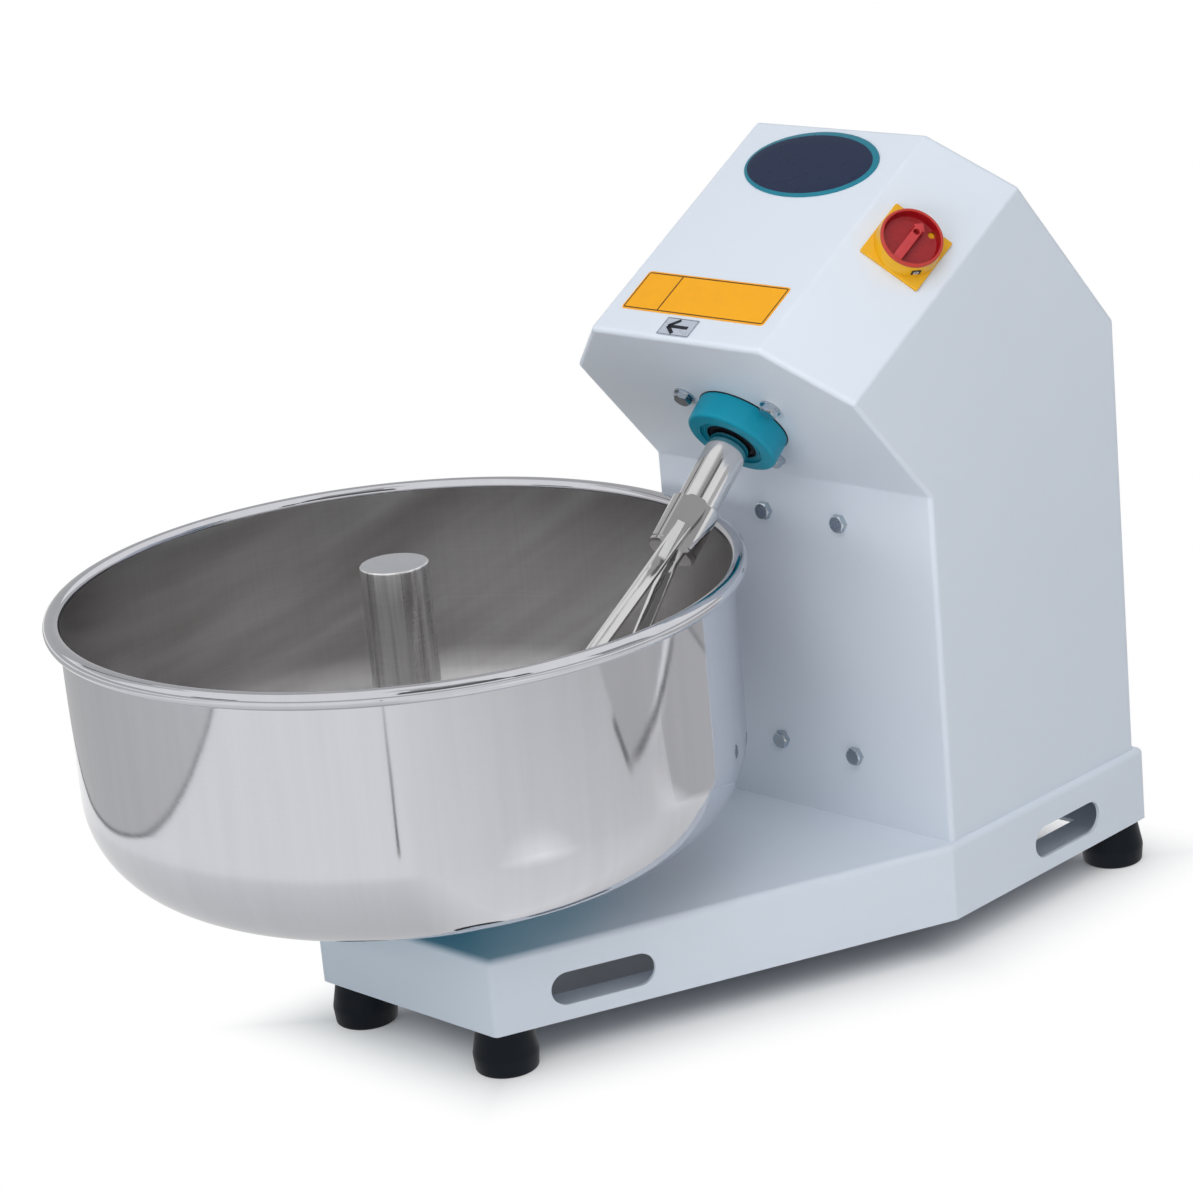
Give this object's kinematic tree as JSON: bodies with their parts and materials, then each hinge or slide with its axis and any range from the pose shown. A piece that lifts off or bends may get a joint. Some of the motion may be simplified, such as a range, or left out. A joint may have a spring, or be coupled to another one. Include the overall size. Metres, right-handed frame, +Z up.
{
  "type": "dough mixer",
  "caption": "Bench fork dough mixer: white folded column and base on rubber feet, steel bowl turning free round a centre post, tilted motor-driven fork, rotary switch.",
  "frame": {"origin": "on the floor under the middle of the whole machine", "axes": "+Z up, +X to the machine's right as seen by someone at the bowl, +Y from the bowl back to the column"},
  "size_m": [0.55, 0.8009, 0.6236],
  "materials": {
    "white_powder_coat": "smooth satin powder coat",
    "teal_paint": "glossy enamel",
    "polished_steel": "mirror polished stainless outside, brushed inside",
    "brushed_steel": "turned and brushed stainless",
    "zinc_steel": "bright zinc plated",
    "machine_steel": "ground machine steel",
    "cast_iron": "primed casting",
    "aluminium": "die cast, blasted",
    "bronze": "cast bronze",
    "black_rubber": "moulded matte rubber",
    "yellow_plastic": "moulded",
    "red_plastic": "moulded",
    "black_plastic": "moulded"
  },
  "bodies": {
    "machine": {"base_tray": "white_powder_coat", "column_shell": "white_powder_coat", "rear_cover": "white_powder_coat", "fork_bearing_housing": "teal_paint", "foot_fasteners": "zinc_steel", "rear_cover_screws": "zinc_steel", "column_fasteners": "zinc_steel", "bowl_housing_fasteners": "zinc_steel", "nose_bolts": "zinc_steel", "nose_washers": "zinc_steel", "motor_plate_fasteners": "zinc_steel", "motor_foot_bolts": "zinc_steel", "gearbox_cover_screws": "zinc_steel", "switch_screws": "zinc_steel", "bowl_bearings": "machine_steel", "bowl_bearing_spacer": "machine_steel", "fork_bearing_lower": "machine_steel", "fork_bearing_upper": "machine_steel", "worm_bearings": "machine_steel", "motor_bearings": "machine_steel", "motor_plate": "machine_steel", "motor_stator": "machine_steel", "worm_bearing_caps": "machine_steel", "bowl_bearing_housing": "cast_iron", "gearbox_housing": "cast_iron", "gearbox_cover": "cast_iron", "motor_frame": "aluminium", "motor_drive_shield": "aluminium", "motor_fan_shield": "aluminium", "foot_front_left": "black_rubber", "foot_front_right": "black_rubber", "foot_rear_left": "black_rubber", "foot_rear_right": "black_rubber", "fork_seal": "black_rubber", "v_belt": "black_rubber", "switch_plate": "yellow_plastic", "switch_collar": "yellow_plastic", "switch_body": "black_plastic", "cable_gland": "black_plastic", "motor_fan_cover": "black_plastic", "motor_terminal_box": "black_plastic", "motor_terminal_lid": "black_plastic"},
    "fork": {"fork_shaft": "polished_steel", "fork_arm_upper": "polished_steel", "fork_arm_lower": "polished_steel", "worm_wheel": "bronze", "wheel_key": "machine_steel", "fork_lock_nut": "zinc_steel"},
    "worm": {"worm_shaft": "machine_steel", "worm_pulley": "cast_iron"},
    "rotor": {"motor_rotor": "machine_steel", "motor_fan": "black_plastic", "motor_pulley": "cast_iron"},
    "bowl": {"bowl": "polished_steel", "centre_post": "brushed_steel", "bowl_spindle": "brushed_steel", "spindle_nut": "zinc_steel", "bowl_screws": "zinc_steel"},
    "knob": {"switch_knob": "red_plastic", "switch_spindle": "machine_steel"}
  },
  "joints": [
    {"name": "fork_spin", "type": "hinge", "parent": "machine", "child": "fork", "pos_m": [0.129, 0.1043, 0.428], "axis": [0, -0.7547, -0.6561], "continuous": true},
    {"name": "worm_spin", "type": "hinge", "parent": "machine", "child": "worm", "pos_m": [0.129, 0.21601, 0.42905], "axis": [1, 0, 0], "continuous": true},
    {"name": "motor_spin", "type": "hinge", "parent": "machine", "child": "rotor", "pos_m": [0.126, 0.2435, 0.225], "axis": [1, 0, 0], "continuous": true},
    {"name": "bowl_spin", "type": "hinge", "parent": "machine", "child": "bowl", "pos_m": [-0.012, -0.1375, 0], "axis": [0, 0, 1], "continuous": true},
    {"name": "switch_turn", "type": "hinge", "parent": "machine", "child": "knob", "pos_m": [0.238, 0.17664, 0.55419], "axis": [-0.7071, 0.3536, -0.6124], "range_deg": [0, 90]}
  ],
  "couplings": [
    {"joint": "worm_spin", "follows": "fork_spin", "ratio": -20},
    {"joint": "motor_spin", "follows": "fork_spin", "ratio": -30}
  ]
}
